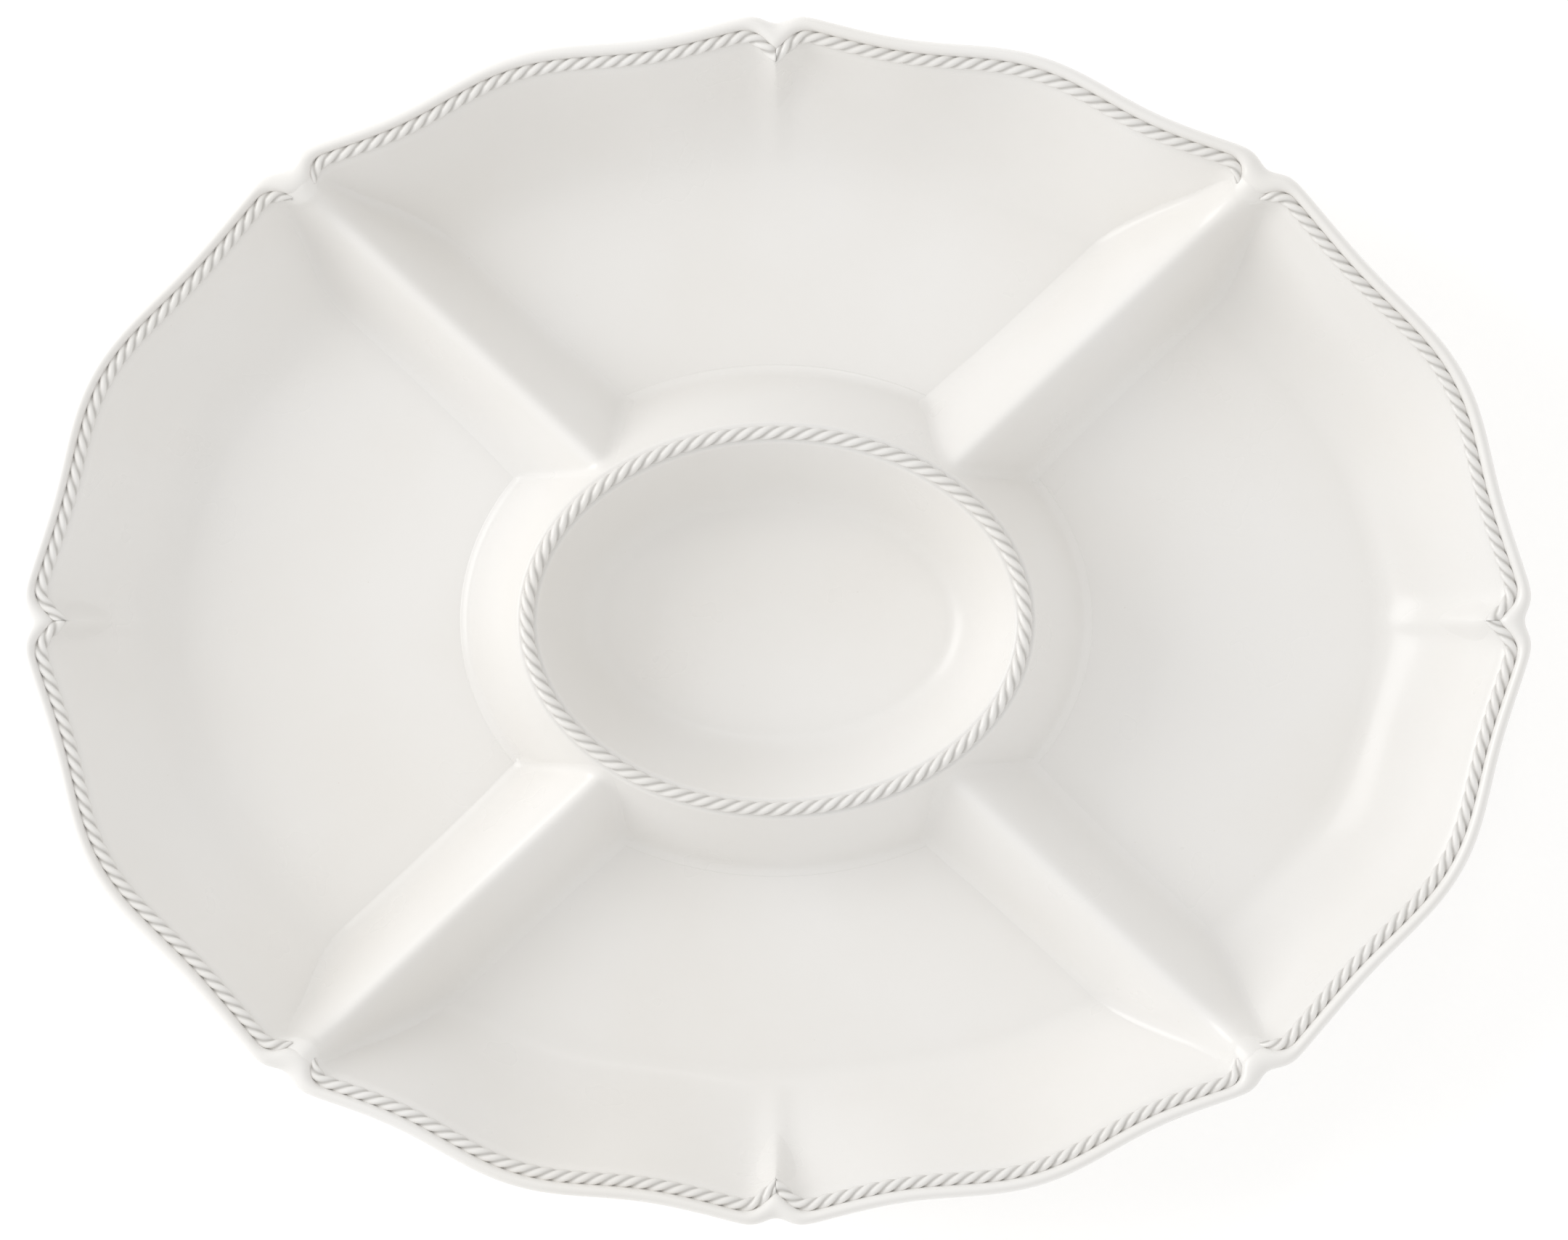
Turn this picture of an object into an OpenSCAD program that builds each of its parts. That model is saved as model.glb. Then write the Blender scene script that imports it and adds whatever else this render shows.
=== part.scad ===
// Oval chip and dip server in glazed stoneware: a scalloped tray with a rope rim,
// four dividers that part it into compartments, and a dip bowl raised in the middle.
//
// Origin: on the table, under the centre of the oval. +X runs along the long axis,
// +Y across it and +Z up. All sizes are in millimetres.
//
// Every free-form piece is swept from rings of points. A ring has one point at each
// station around the oval, and pieces that touch share the rings they touch on.

/* [Tray] */
// Overall length, over the lip
tray_length = 445; // [370:5:540]
// Overall width, over the lip
tray_width = 356; // [300:5:430]
// Overall height, from the table to the top of the lip
tray_height = 50; // [42:1:62]
// Thickness of the floor
floor_thickness = 6; // [5:0.5:8]
// Thickness of the sloping wall, square to its face
wall_thickness = 6; // [5:0.5:8]
// How far the inner wall leans in between the rope and the flat floor
wall_run = 35; // [28:1:42]
// Hollow of the wall: 1 is a straight slope, more is rounder at the foot
wall_curve = 1.7; // [1.3:0.1:2.4]

/* [Rim] */
// Width of the smooth lip outside the rope
lip_width = 3; // [2:0.5:6]
// Height of the lip's rolled outer edge
lip_roll = 8; // [6:0.5:10]
// Swell of the outline's lobes, from peak to trough
scallop_depth = 3.5; // [0:0.25:6]
// Extra swell of the outline beside a cusp
shoulder_rise = 1.5; // [0:0.25:3]
// Notch in the outline at a cusp
notch_depth = 3; // [0:0.2:5]
// Place of the corner cusps and the dividers, as the oval's parameter angle
corner_angle = 49; // [43:1:54]
// How far the rim turns in at a cusp
pleat_depth = 4; // [3:0.5:9]
// How far along the rim that turn reaches from a side or end cusp
pleat_reach = 10; // [8:1:14]
// How far along the rim it reaches beyond the plain part of a corner cusp
corner_reach = 6; // [4:1:10]
// Half the width of the plain part of a corner cusp, and of a rim rib
cusp_half_width = 5; // [3.5:0.5:7]
// Steps of the wall that a rim rib runs down
rib_steps = 4; // [3:1:5]

/* [Ropes] */
// Width of the twisted ropes
rope_width = 5; // [4:0.25:6.5]
// Height of a rope above the seat that carries it
rope_rise = 2.2; // [1.4:0.2:3]

/* [Centre bowl] */
// Length over the bowl's rope
bowl_length = 152; // [124:1:184]
// Width over the bowl's rope
bowl_width = 116; // [96:1:140]
// Height from the table to the top of the bowl's rope
bowl_height = 47; // [38:1:56]
// Height of the bowl's inner floor above the table
bowl_floor_height = 12; // [11:1:20]
// Thickness of the bowl and of its outer skirt
bowl_wall = 5.5; // [4.5:0.5:7]
// How far the inside of the bowl leans in from its rope to its floor
bowl_run = 20; // [14:1:26]
// How far the outer skirt slopes out from the rope to its foot
skirt_run = 16; // [10:1:22]

/* [Dividers] */
// Height of a divider's crest at its ends, above the table
divider_height = 40; // [30:1:44]
// Dip of the crest between its ends
divider_sag = 4; // [0:0.5:8]
// Width of the rounded crest
crest_width = 7; // [5:0.5:10]
// Width of a divider at the floor
divider_base = 36; // [24:1:42]

/* [Foot] */
// Height of the foot ring under the floor
foot_height = 3; // [2:0.5:5]
// Width of the foot ring
foot_width = 8; // [6:1:12]
// Distance from the foot of the wall in to the foot ring
foot_inset = 6; // [3:1:12]

/* [Hidden] */

glaze_colour = "ivory";
clay_colour = "tan";

// Heights that several pieces share
floor_top = foot_height + floor_thickness;
seat_tilt = 3; // fall of the rope's seat towards the inside
seat_out_height = tray_height - 0.75 * rope_rise;
seat_in_height = seat_out_height - seat_tilt;
bowl_seat_height = bowl_height - rope_rise;

// The oval's eight cusps, anticlockwise from +X. Odd ones are the corners.
cusps = [
    0, corner_angle, 90, 180 - corner_angle,
    180, 180 + corner_angle, 270, 360 - corner_angle, 360
];
shoulder_spread = 14;  // reach of the shoulders beside a cusp
notch_spread = 5;      // reach of the notch in a cusp
pleat_sharpness = 1.5; // 1 turns in along a straight V, more is rounder at the shoulders
floor_scallop = 0.15;  // share of the scallop that is left at the foot of the wall

// Stations around the oval: close together beside each cusp, then even
cusp_steps = [for (beyond = [-cusp_half_width, 0, 2, 5, 10]) cusp_half_width + beyond];
near_steps = len(cusp_steps);
even_steps = 8;
lobe_steps = 2 * near_steps + even_steps - 1;

// Length of the oval's edge for each degree of its parameter angle
function pace(angle) = norm([tray_length / 2 * sin(angle), tray_width / 2 * cos(angle)]) * PI / 180;

// Stations of one lobe, without its last cusp, as [angle, distance to the cusp, corner or not, lobe share]
function station(lobe, step) =
    let (
        start = cusps[lobe],
        end = cusps[lobe + 1],
        from_start = [for (d = cusp_steps) start + d / pace(start)],
        to_end = [for (d = cusp_steps) end - d / pace(end)],
        first = from_start[near_steps - 1],
        last = to_end[near_steps - 1],
        angle = step < near_steps
            ? from_start[step]
            : step > lobe_steps - near_steps
                ? to_end[lobe_steps - step]
                : first + (last - first) * (step - near_steps + 1) / even_steps,
        share = (angle - start) / (end - start),
        near = share < 0.5 ? lobe : lobe + 1
    )
    [angle, abs(angle - cusps[near]) * pace(cusps[near]), near % 2 == 1, share];
stations = [for (lobe = [0 : 7], step = [0 : lobe_steps - 1]) station(lobe, step)];
station_count = len(stations);

// Outward swell of the lip's outline at a station
function swell(s) =
    scallop_depth / 2 * cos(720 * s[3])
    + shoulder_rise * exp(-pow(s[1] / shoulder_spread, 2))
    - notch_depth * exp(-pow(s[1] / notch_spread, 2));

// Inward turn of the rim at a station
function pleat(s) =
    let (
        beyond = max(0, s[1] - (s[2] ? cusp_half_width : 0)),
        reach = s[2] ? corner_reach : pleat_reach
    )
    pleat_depth * pow(max(0, 1 - beyond / reach), pleat_sharpness);

// Half axes of the plain oval whose swollen outline has the overall length and width
half_length = min([for (s = stations) if (abs(cos(s[0])) > 0.7) tray_length / 2 / abs(cos(s[0])) - swell(s)]);
half_width = min([for (s = stations) if (abs(sin(s[0])) > 0.7) tray_width / 2 / abs(sin(s[0])) - swell(s)]);

// A point of the tray: in from the outline, at a height, with shares of the scallop and of the pleats
function rim_point(s, inset, height, scallop = 1, turn = 0) =
    let (shift = scallop * swell(s) - inset - turn * pleat(s))
    [(half_length + shift) * cos(s[0]), (half_width + shift) * sin(s[0]), height];
function rim_ring(inset, height, scallop = 1, turn = 0) =
    [for (s = stations) rim_point(s, inset, height, scallop, turn)];

// A plain oval ring from its half length and half width
function oval_ring(a, b, height) =
    [for (s = stations) [a * cos(s[0]), b * sin(s[0]), height]];

// The wall, by its share u: 0 under the rope, 1 at the flat floor
wall_top_inset = lip_width + rope_width;
floor_inset = wall_top_inset + wall_run;
wall_drop = seat_in_height - floor_top;
wall_shares = [0.82, 0.62, 0.42, 0.24, 0.1];
wall_steps = len(wall_shares);
function wall_inset(u) = wall_top_inset + wall_run * u;
function wall_height(u) = floor_top + wall_drop * pow(1 - u, wall_curve);
function wall_scallop(u) = 1 - (1 - floor_scallop) * u;
function wall_slope(u) = atan2(wall_drop * wall_curve * pow(1 - u, wall_curve - 1), wall_run);
function outer_inset(u) = wall_inset(u) - wall_thickness * sin(wall_slope(u));
function outer_height(u) = max(foot_height, wall_height(u) - wall_thickness * cos(wall_slope(u)));

// Rings that more than one piece uses, from the floor up
seat_in_ring = rim_ring(wall_top_inset, seat_in_height, 1, 1);
seat_out_ring = rim_ring(lip_width, seat_out_height, 1, 1);
wall_rings = [for (u = wall_shares) rim_ring(wall_inset(u), wall_height(u), wall_scallop(u))];
floor_ring = rim_ring(floor_inset, floor_top, floor_scallop);

// Faces between neighbouring closed rings of points. The order inner, over, outer, under
// turns every face outwards.
function ring_faces(count, rings) = [
    for (k = [0 : rings - 2], i = [0 : count - 1])
        let (
            j = (i + 1) % count,
            a = k * count + i,
            b = k * count + j,
            c = (k + 1) * count + j,
            d = (k + 1) * count + i
        )
        each [[a, b, d], [b, c, d]]
];

// A closed band: rings joined in order, and the last one to the first
module band(rings) {
    count = len(rings[0]);
    total = count * len(rings);
    polyhedron(
        points = [for (r = rings) each r],
        faces = [for (f = ring_faces(count, len(rings) + 1)) [for (v = f) v % total]]
    );
}

// Rings joined in order, with a flat cap on the first and on the last
module stack(rings) {
    count = len(rings[0]);
    last = len(rings) - 1;
    polyhedron(
        points = [for (r = rings) each r],
        faces = concat(
            ring_faces(count, last + 1),
            [[for (i = [count - 1 : -1 : 0]) i]],
            [[for (i = [0 : count - 1]) last * count + i]]
        )
    );
}

// A run of cross-sections, each a loop of points, capped at both ends. Rising splits each
// quad from the lower ring up; it is set to match the facets that the run lies on.
module run(rows, rising) {
    size = len(rows[0]);
    last = len(rows) - 1;
    polyhedron(
        points = [for (r = rows) each r],
        faces = concat(
            [
                for (i = [0 : last - 1], j = [0 : size - 1])
                    let (
                        k = (j + 1) % size,
                        a = i * size + j,
                        b = i * size + k,
                        c = (i + 1) * size + k,
                        d = (i + 1) * size + j
                    )
                    each rising ? [[a, d, b], [b, d, c]] : [[a, c, b], [a, d, c]]
            ],
            [[for (j = [0 : size - 1]) j]],
            [[for (j = [size - 1 : -1 : 0]) last * size + j]]
        )
    );
}

// Rounded top of a rope between the two edges of its seat
arch_steps = 6;
function arch(inner, outer) = [
    for (m = [1 : arch_steps - 1])
        let (turn = 180 * m / arch_steps)
        inner + (outer - inner) * (1 - cos(turn)) / 2 + [0, 0, rope_rise * sin(turn)]
];

// The tray: floor, fluted wall and rolled lip. Its floor is open under the hollow bowl.
hole_margin = 4; // how far the opening reaches out past the bowl's rope
module tray() {
    edge_height = tray_height - 0.4 * lip_roll;
    under_height = tray_height - 0.85 * lip_roll;
    hole_a = bowl_length / 2 + hole_margin;
    hole_b = bowl_width / 2 + hole_margin;
    color(glaze_colour)
        band(concat(
            [oval_ring(hole_a, hole_b, foot_height)],
            [oval_ring(hole_a, hole_b, floor_top)],
            [floor_ring],
            wall_rings,
            [seat_in_ring],
            [seat_out_ring],
            [rim_ring(0.6 * lip_width, tray_height, 1, 0.5)],
            [rim_ring(0.2 * lip_width, tray_height - 0.1 * lip_roll)],
            [rim_ring(0, edge_height)],
            [rim_ring(0.15 * lip_width, under_height)],
            [rim_ring(outer_inset(0), tray_height - lip_roll)],
            [
                for (k = [wall_steps - 1 : -1 : 0])
                    let (u = wall_shares[k])
                    rim_ring(outer_inset(u), outer_height(u), wall_scallop(u))
            ],
            [rim_ring(floor_inset, foot_height, floor_scallop)]
        ));
}

// The foot ring, a flat oval band under the floor
module foot_ring() {
    a = half_length - floor_inset - foot_inset;
    b = half_width - floor_inset - foot_inset;
    color(clay_colour)
        linear_extrude(foot_height)
            difference() {
                polygon([for (s = stations) [a * cos(s[0]), b * sin(s[0])]]);
                polygon([for (s = stations) [(a - foot_width) * cos(s[0]), (b - foot_width) * sin(s[0])]]);
            }
}

// Rings of the centre bowl: half axes measured out from the edge of its rope
bowl_stations = 72;
function bowl_ring(out, height) = [
    for (i = [0 : bowl_stations - 1])
        let (angle = 360 * i / bowl_stations)
        [(bowl_length / 2 + out) * cos(angle), (bowl_width / 2 + out) * sin(angle), height]
];
bowl_seat_in = bowl_ring(-rope_width, bowl_seat_height);
bowl_seat_out = bowl_ring(0, bowl_seat_height);
bowl_foot = bowl_ring(skirt_run, floor_top);

// The inside of the bowl, by its share u: 0 under the rope, 1 at its floor
bowl_shares = [0.12, 0.3, 0.52, 0.76];
bowl_curve = 1.9; // hollow of the bowl, as wall_curve
bowl_depth = bowl_seat_height - bowl_floor_height;
function bowl_out(u) = -rope_width - bowl_run * u;
function bowl_inside(u) = bowl_floor_height + bowl_depth * pow(1 - u, bowl_curve);
function bowl_slope(u) = atan2(bowl_depth * bowl_curve * pow(1 - u, bowl_curve - 1), bowl_run);
function bowl_back(u) =
    bowl_ring(bowl_out(u) + bowl_wall * sin(bowl_slope(u)), bowl_inside(u) - bowl_wall * cos(bowl_slope(u)));

// The centre bowl: a dip bowl hung inside a sloping skirt, hollow between the two
module centre_bowl() {
    skirt_slope = atan2(bowl_seat_height - floor_top, skirt_run);
    skirt_inside = skirt_run - bowl_wall / sin(skirt_slope);
    crown = bowl_seat_height - bowl_wall;
    color(glaze_colour)
        stack(concat(
            [bowl_ring(bowl_out(1), bowl_floor_height)],
            [for (k = [len(bowl_shares) - 1 : -1 : 0]) bowl_ring(bowl_out(bowl_shares[k]), bowl_inside(bowl_shares[k]))],
            [bowl_seat_in],
            [bowl_seat_out],
            [bowl_foot],
            [bowl_ring(skirt_inside, floor_top)],
            [bowl_ring(skirt_inside - (crown - floor_top) / tan(skirt_slope), crown)],
            [for (u = bowl_shares) if (u > bowl_shares[0]) bowl_back(u)],
            [bowl_ring(bowl_out(1), bowl_floor_height - bowl_wall)]
        ));
}

// The twisted rope on the bowl's rim
module bowl_rope() {
    arches = [for (i = [0 : bowl_stations - 1]) arch(bowl_seat_in[i], bowl_seat_out[i])];
    color(glaze_colour)
        band(concat(
            [bowl_seat_in],
            [for (m = [0 : arch_steps - 2]) [for (a = arches) a[m]]],
            [bowl_seat_out]
        ));
}

// One length of twisted rope on the rim, along one lobe from cusp to cusp. It meets its
// neighbour at the side and end cusps, and stops short of the plain part of a corner cusp.
module rim_rope(lobe) {
    first = lobe * lobe_steps + (lobe % 2 == 0 ? 0 : 1);
    last = (lobe + 1) * lobe_steps - (lobe % 2 == 0 ? 1 : 0);
    color(glaze_colour)
        run([
            for (i = [first : last])
                let (n = i % station_count)
                concat([seat_in_ring[n]], arch(seat_in_ring[n], seat_out_ring[n]), [seat_out_ring[n]])
        ], rising = false);
}

// A rib that carries the inward turn of the rim at a side or end cusp. It lies on the
// tray's own facets and its crest runs straight from the tip of the turn to the wall.
module rim_rib(cusp) {
    middle = cusp * lobe_steps;
    seats = concat([seat_in_ring], [for (k = [wall_steps - 1 : -1 : wall_steps - rib_steps]) wall_rings[k]]);
    sides = [for (shift = [-1, 0, 1]) [for (r = seats) r[(middle + shift + station_count) % station_count]]];
    top = sides[1][0];
    foot = sides[1][rib_steps];
    crest = [
        for (m = [1 : rib_steps - 1])
            top + (foot - top) * (top[2] - sides[1][m][2]) / (top[2] - foot[2])
    ];
    n = rib_steps + 1;
    function crest_index(m) = m == 0 ? n : m == rib_steps ? n + rib_steps : 3 * n + m - 1;
    color(glaze_colour)
        polyhedron(
            points = concat(sides[0], sides[1], sides[2], crest),
            faces = [
                for (m = [0 : rib_steps - 1])
                    let (
                        left = [m, m + 1],
                        mid = [n + m, n + m + 1],
                        right = [2 * n + m, 2 * n + m + 1],
                        ridge = [crest_index(m), crest_index(m + 1)]
                    )
                    each concat(
                        [[left[0], left[1], mid[1]], [left[0], mid[1], mid[0]]],
                        [[mid[0], mid[1], right[1]], [mid[0], right[1], right[0]]],
                        [[left[1], left[0], ridge[0]], [left[1], ridge[0], ridge[1]]],
                        [[right[0], right[1], ridge[1]], [right[0], ridge[1], ridge[0]]]
                    )
            ]
        );
}

// The clay behind the wall near one corner cusp, on the tray's own facets
module wall_behind(cusp) {
    middle = cusp * lobe_steps;
    reach = near_steps + 2; // stations to each side, past the divider's foot
    behind = 20;            // how far the cut goes outwards, up and down
    run([
        for (i = [middle - reach : middle + reach])
            let (s = stations[i])
            concat(
                [rim_point(s, floor_inset, floor_top, floor_scallop)],
                [for (r = wall_rings) r[i]],
                [seat_in_ring[i]],
                [rim_point(s, -behind, tray_height + behind)],
                [rim_point(s, -behind, floor_top - behind)],
                [rim_point(s, floor_inset, floor_top - behind, floor_scallop)]
            )
    ], rising = true);
}

// A divider from the bowl's skirt to a corner cusp, on the floor of the tray. Its ends are
// cut to the skirt and to the wall.
module divider(cusp) {
    angle = cusps[cusp];
    inner = [bowl_length / 2 * cos(angle), bowl_width / 2 * sin(angle)];
    outer = [half_length * cos(angle), half_width * sin(angle)];
    along = outer - inner;
    across = [-along[1], along[0]] / norm(along);
    steps = 10;
    round_drop = crest_width * 0.3;
    color(glaze_colour)
        difference() {
            run([
                for (i = [0 : steps])
                    let (
                        t = i / steps,
                        place = inner + along * t,
                        height = divider_height - divider_sag * sin(180 * t),
                        profile = [
                            [divider_base / 2, floor_top],
                            [crest_width / 2, height - round_drop],
                            [crest_width / 4, height - round_drop / 4],
                            [0, height],
                            [-crest_width / 4, height - round_drop / 4],
                            [-crest_width / 2, height - round_drop],
                            [-divider_base / 2, floor_top]
                        ]
                    )
                    [for (p = profile) [place[0] + across[0] * p[0], place[1] + across[1] * p[0], p[1]]]
            ], rising = true);
            stack([bowl_ring(0, bowl_seat_height), bowl_foot]);
            wall_behind(cusp);
        }
}

tray();
foot_ring();
centre_bowl();
bowl_rope();
divider(1);  // divider_north_east
divider(3);  // divider_north_west
divider(5);  // divider_south_west
divider(7);  // divider_south_east
rim_rope(0);  // rim_rope_east_north
rim_rope(1);  // rim_rope_north_east
rim_rope(2);  // rim_rope_north_west
rim_rope(3);  // rim_rope_west_north
rim_rope(4);  // rim_rope_west_south
rim_rope(5);  // rim_rope_south_west
rim_rope(6);  // rim_rope_south_east
rim_rope(7);  // rim_rope_east_south
rim_rib(0);  // rim_rib_east
rim_rib(2);  // rim_rib_north
rim_rib(4);  // rim_rib_west
rim_rib(6);  // rim_rib_south
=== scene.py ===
"""Oval chip and dip server in cream glazed stoneware.

Each clay element is made as a potter makes it: forms are thrown round on a wheel and pressed
into the oval scalloped mould, dividers and ribs are laid over the tray, and ropes are twisted
from three strands. Metres throughout: +X along the oval, +Y across it, +Z up from the table.
"""

import logging
import math
from dataclasses import dataclass
from enum import Enum

import bmesh
import bpy
import numpy as np
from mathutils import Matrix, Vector

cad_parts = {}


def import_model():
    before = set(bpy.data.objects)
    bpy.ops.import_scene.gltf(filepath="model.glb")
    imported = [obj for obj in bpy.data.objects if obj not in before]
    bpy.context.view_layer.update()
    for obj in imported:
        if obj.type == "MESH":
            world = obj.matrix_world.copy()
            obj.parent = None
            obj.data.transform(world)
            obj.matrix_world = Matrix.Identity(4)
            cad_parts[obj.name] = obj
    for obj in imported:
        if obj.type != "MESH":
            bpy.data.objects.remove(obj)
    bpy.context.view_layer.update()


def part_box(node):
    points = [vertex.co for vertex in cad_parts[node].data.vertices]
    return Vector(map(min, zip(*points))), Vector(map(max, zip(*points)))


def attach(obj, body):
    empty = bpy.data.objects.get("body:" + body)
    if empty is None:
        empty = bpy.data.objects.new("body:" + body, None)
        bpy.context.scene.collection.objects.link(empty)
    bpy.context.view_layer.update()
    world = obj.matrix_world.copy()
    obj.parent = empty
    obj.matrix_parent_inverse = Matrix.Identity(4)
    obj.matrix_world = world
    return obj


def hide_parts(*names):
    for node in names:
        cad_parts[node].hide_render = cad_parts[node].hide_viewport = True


MM = 0.001
FULL_TURN = 2 * math.pi
HAIR = 1e-6  # a distance too short to see
HALVINGS = 34
FINE_STEPS = 4001

Array = np.ndarray
Colour = tuple[float, float, float]
Item = bpy.types.Object
Pair = tuple[float, float]
Socket = bpy.types.NodeSocket

log = logging.getLogger("server")


# ---- options


class Corner(Enum):
    """Corner cusps of the rim: node suffix and the cusp's number, anticlockwise from +X."""

    NORTH_EAST = ("north_east", 1)
    NORTH_WEST = ("north_west", 3)
    SOUTH_WEST = ("south_west", 5)
    SOUTH_EAST = ("south_east", 7)


class Side(Enum):
    """Side and end cusps of the rim: node suffix and the cusp's number."""

    EAST = ("east", 0)
    NORTH = ("north", 2)
    WEST = ("west", 4)
    SOUTH = ("south", 6)


class Slot(Enum):
    """The record's material slots."""

    GLAZE = "cream_glaze"
    CLAY = "bare_clay"


ROPE_NODES = (
    "rim_rope_east_north",
    "rim_rope_north_east",
    "rim_rope_north_west",
    "rim_rope_west_north",
    "rim_rope_west_south",
    "rim_rope_south_west",
    "rim_rope_south_east",
    "rim_rope_east_south",
)


# ---- small maths


def smooth_union(a: Array, b: Array, reach: float) -> Array:
    """Joins two heights, with the hollow filled within reach as slip fills a joint."""
    near = np.clip(reach - np.abs(a - b), 0, None) / reach
    return np.maximum(a, b) + near**2 * reach / 4


def ease(value: Array, start: float, end: float) -> Array:
    """Smooth step from 0 at start to 1 at end."""
    share = np.clip((value - start) / (end - start), 0, 1)
    return share**2 * (3 - 2 * share)


def shift_onto(x: Array, y: Array, axes: Pair, most: float) -> Array:
    """Finds how far an oval's half axes grow until it passes through points in plan.

    Args:
        x: Places along the oval.
        y: Places across the oval.
        axes: Half axes of the plain oval.
        most: Greatest growth that is looked for.

    Returns:
        Growth of both half axes, below 0 inside the oval.
    """
    long, short = axes
    low = np.full_like(x, -short + HAIR)
    high = np.full_like(x, most)
    for _ in range(HALVINGS):
        shift = (low + high) / 2
        is_outside = (x / (long + shift)) ** 2 + (y / (short + shift)) ** 2 > 1
        low = np.where(is_outside, shift, low)
        high = np.where(is_outside, high, shift)
    return shift


# ---- forms


@dataclass(frozen=True)
class OvalForm:
    """The scalloped oval mould that every piece of the tray is pressed on."""

    length: float = 445 * MM
    width: float = 356 * MM
    height: float = 50 * MM
    foot_height: float = 3 * MM
    floor_top: float = 9 * MM
    wall_thickness: float = 6 * MM
    wall_run: float = 35 * MM
    wall_curve: float = 1.7
    lip_width: float = 3 * MM
    rope_width: float = 5 * MM
    seat_out_height: float = 48.35 * MM
    seat_in_height: float = 45.35 * MM
    scallop_depth: float = 3.5 * MM
    shoulder_rise: float = 1.5 * MM
    shoulder_spread: float = 14 * MM
    notch_depth: float = 3.0 * MM
    notch_spread: float = 5 * MM
    corner_angle: float = math.radians(49)
    pleat_depth: float = 4.0 * MM
    pleat_reach: float = 12 * MM
    corner_reach: float = 8 * MM
    cusp_half_width: float = 4 * MM
    pleat_sharpness: float = 2.0
    pleat_fade: float = 0.5
    floor_scallop: float = 0.15
    end_share: float = 0.7
    search_out: float = 20 * MM
    wall_rounds: int = 24
    rope_fade: Pair = (-1.6 * MM, -0.2 * MM)

    @property
    def cusps(self) -> Array:
        """Parameter angles of the eight cusps, and the first one again."""
        c = self.corner_angle
        half = math.pi
        return np.array([0, c, half / 2, half - c, half, half + c, 1.5 * half, 2 * half - c, 2 * half])

    @property
    def wall_top_inset(self) -> float:
        """Distance from the outline to the top of the inner wall."""
        return self.lip_width + self.rope_width

    @property
    def floor_inset(self) -> float:
        """Distance from the outline to the flat floor."""
        return self.wall_top_inset + self.wall_run

    @property
    def half_axes(self) -> Pair:
        """Half axes of the plain oval under the swollen outline."""
        a = np.linspace(0, FULL_TURN, FINE_STEPS)
        swell = self.swell(a)
        ends = np.abs(np.cos(a)) > self.end_share
        sides = np.abs(np.sin(a)) > self.end_share
        long = np.min(self.length / 2 / np.abs(np.cos(a[ends])) - swell[ends])
        short = np.min(self.width / 2 / np.abs(np.sin(a[sides])) - swell[sides])
        return float(long), float(short)

    def pace(self, a: Array) -> Array:
        """Length of the oval's edge for each radian of its parameter angle."""
        return np.hypot(self.length / 2 * np.sin(a), self.width / 2 * np.cos(a))

    def nearest_cusp(self, a: Array) -> tuple[Array, Array, Array]:
        """Distances of angles to the nearest cusp, whether it is a corner, and shares of the lobe."""
        cusps = self.cusps
        a = np.mod(a, FULL_TURN)
        lobe = np.clip(np.searchsorted(cusps, a, side="right") - 1, 0, len(cusps) - 2)
        share = (a - cusps[lobe]) / (cusps[lobe + 1] - cusps[lobe])
        near = np.where(share < 0.5, lobe, lobe + 1)
        return np.abs(a - cusps[near]) * self.pace(cusps[near]), near % 2 == 1, share

    def swell(self, a: Array) -> Array:
        """Outward swell of the outline at parameter angles."""
        distance, _, share = self.nearest_cusp(a)
        return (
            self.scallop_depth / 2 * np.cos(2 * FULL_TURN * share)
            + self.shoulder_rise * np.exp(-((distance / self.shoulder_spread) ** 2))
            - self.notch_depth * np.exp(-((distance / self.notch_spread) ** 2))
        )

    def pleat(self, a: Array) -> Array:
        """Inward turn of the rim at parameter angles."""
        distance, corner, _ = self.nearest_cusp(a)
        beyond = np.clip(distance - np.where(corner, self.cusp_half_width, 0), 0, None)
        reach = np.where(corner, self.corner_reach, self.pleat_reach)
        return self.pleat_depth * np.clip(1 - beyond / reach, 0, None) ** self.pleat_sharpness

    def wall_height(self, u: Array) -> Array:
        """Height of the inner wall by its share u, 0 under the rope and 1 at the floor."""
        drop = self.seat_in_height - self.floor_top
        return self.floor_top + drop * np.clip(1 - u, 0, None) ** self.wall_curve

    def wall_slope(self, u: float) -> float:
        """Slope of the wall as an angle, by its share u."""
        drop = self.seat_in_height - self.floor_top
        return math.atan2(drop * self.wall_curve * (1 - u) ** (self.wall_curve - 1), self.wall_run)

    def wall_scallop(self, u: float) -> float:
        """Share of the scallop that is left at the wall's share u."""
        return 1 - (1 - self.floor_scallop) * u

    def wall_turn(self, u: Array) -> Array:
        """Share of the rim's inward turn that is left at the wall's share u."""
        return np.clip(1 - u / self.pleat_fade, 0, None) ** 2

    def rim_point(self, a: Array, inset: float, turn: float) -> tuple[Array, Array]:
        """X and y on the rim at parameter angles, by the inset and the share of the inward turn."""
        long, short = self.half_axes
        shift = self.swell(a) - inset - turn * self.pleat(a)
        return (long + shift) * np.cos(a), (short + shift) * np.sin(a)

    def locate(self, x: Array, y: Array) -> tuple[Array, Array]:
        """Parameter angles of points in plan, and their outward shifts from the plain oval."""
        long, short = self.half_axes
        shift = shift_onto(x, y, (long, short), self.search_out)
        return np.arctan2(y / (short + shift), x / (long + shift)), shift

    def insets(self, x: Array, y: Array) -> tuple[Array, Array]:
        """Insets of points in plan from the outline, and from the outline with its inward turns."""
        a, shift = self.locate(x, y)
        inset = self.swell(a) - shift
        return inset, inset - self.pleat(a)

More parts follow.
